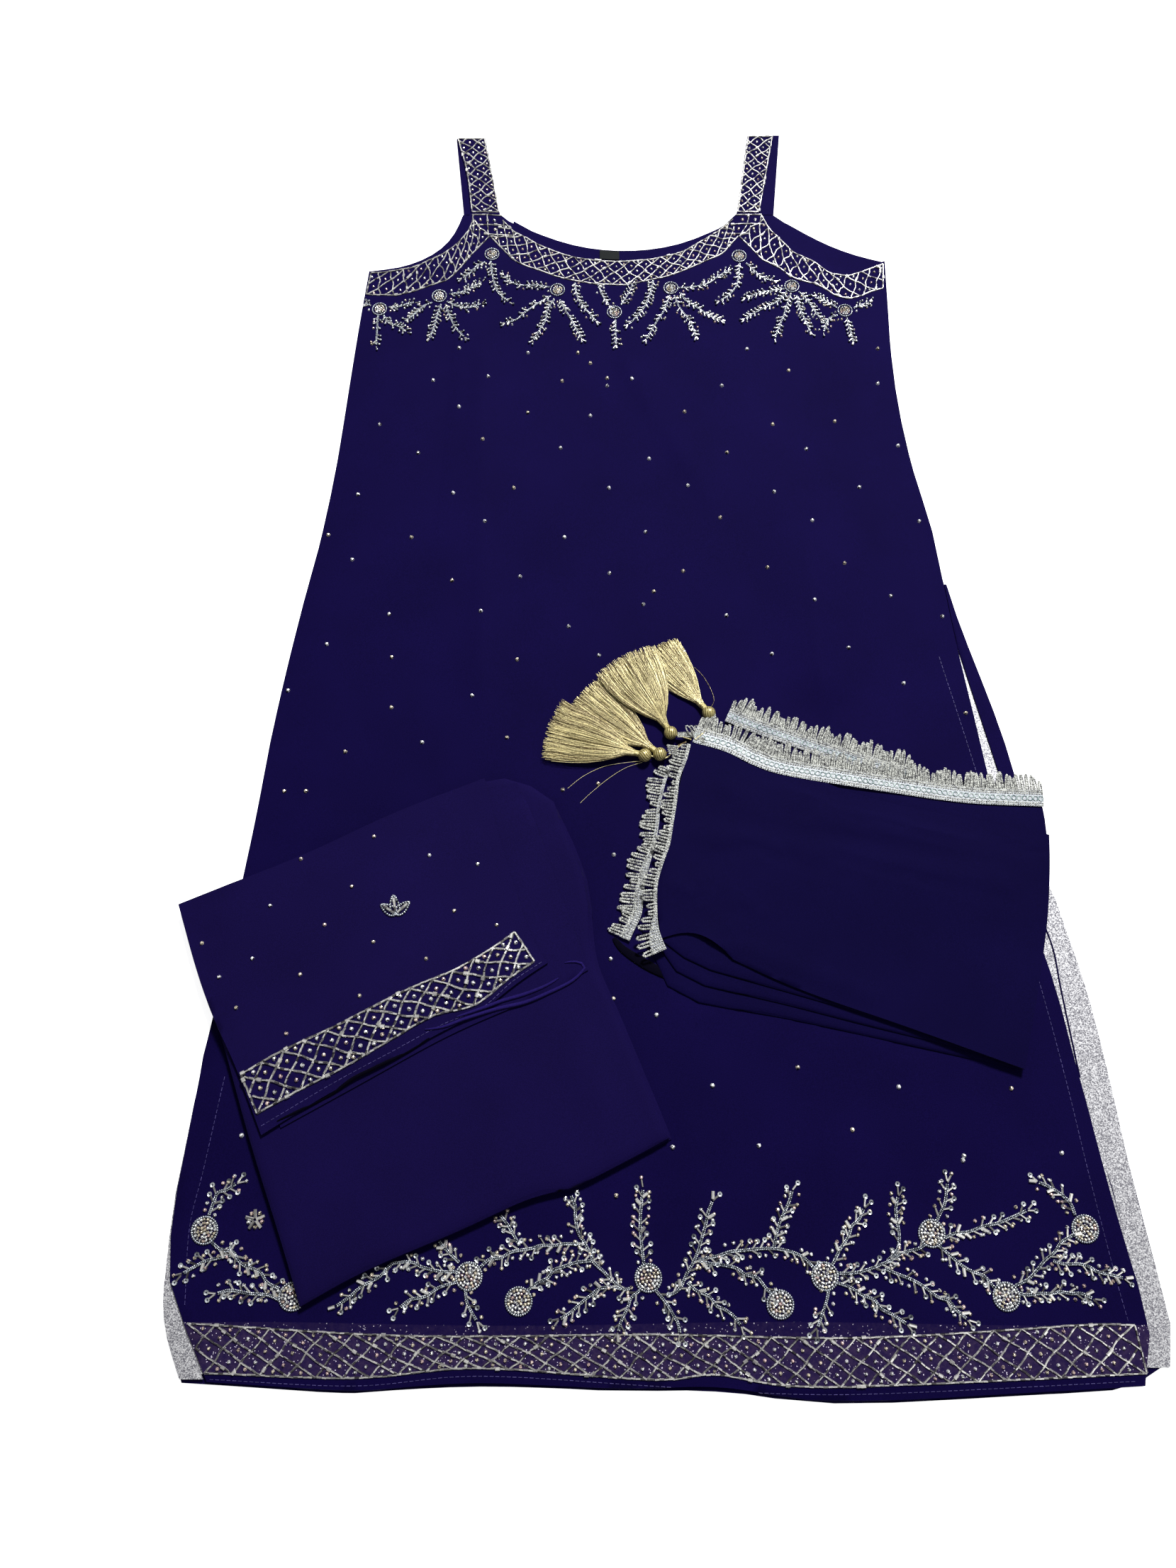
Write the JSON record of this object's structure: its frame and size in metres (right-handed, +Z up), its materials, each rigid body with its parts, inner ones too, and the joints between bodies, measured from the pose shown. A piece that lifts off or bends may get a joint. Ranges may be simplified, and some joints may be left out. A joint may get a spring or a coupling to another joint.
{
  "type": "kurta palazzo set",
  "caption": "Sleeveless A-line kurta laid flat, with folded palazzo trousers and a folded lace-edged stole with tassels resting on it.",
  "frame": {"origin": "middle of the laid set's box, on the surface it rests on", "axes": "+X to the right as seen from above, +Y towards the kurta's straps, +Z up"},
  "size_m": [0.7136, 1.1022, 0.0172],
  "materials": {
    "kurta_cloth": "fine sheer weave over a matte lining",
    "palazzo_cloth": "soft crepe, matte",
    "dupatta_cloth": "fine sheer weave with a faint sheen",
    "silver_facing": "silver lurex weave, glittering",
    "lace": "metallic silver thread",
    "thread": "champagne metallic thread",
    "label": "smooth satin ribbon, bare"
  },
  "bodies": {
    "root": {"kurta_back": "kurta_cloth", "kurta_front": "kurta_cloth", "strap_back_left": "kurta_cloth", "strap_back_right": "kurta_cloth", "strap_front_left": "kurta_cloth", "strap_front_right": "kurta_cloth", "back_neck_facing": "kurta_cloth", "neck_label": "label", "back_facing_left": "silver_facing", "back_facing_right": "silver_facing", "front_facing_left": "silver_facing", "front_facing_right": "silver_facing", "front_hem_facing": "silver_facing", "palazzo_stack": "palazzo_cloth", "palazzo_leg_under": "palazzo_cloth", "palazzo_leg_top": "palazzo_cloth", "dupatta_stack": "dupatta_cloth", "dupatta_top": "dupatta_cloth", "lace_top_inner": "lace", "lace_top_outer": "lace", "lace_side_outer": "lace", "lace_side_inner": "lace", "tassel_1": "thread", "tassel_2": "thread", "tassel_3": "thread", "tassel_4": "thread"}
  },
  "joints": []
}
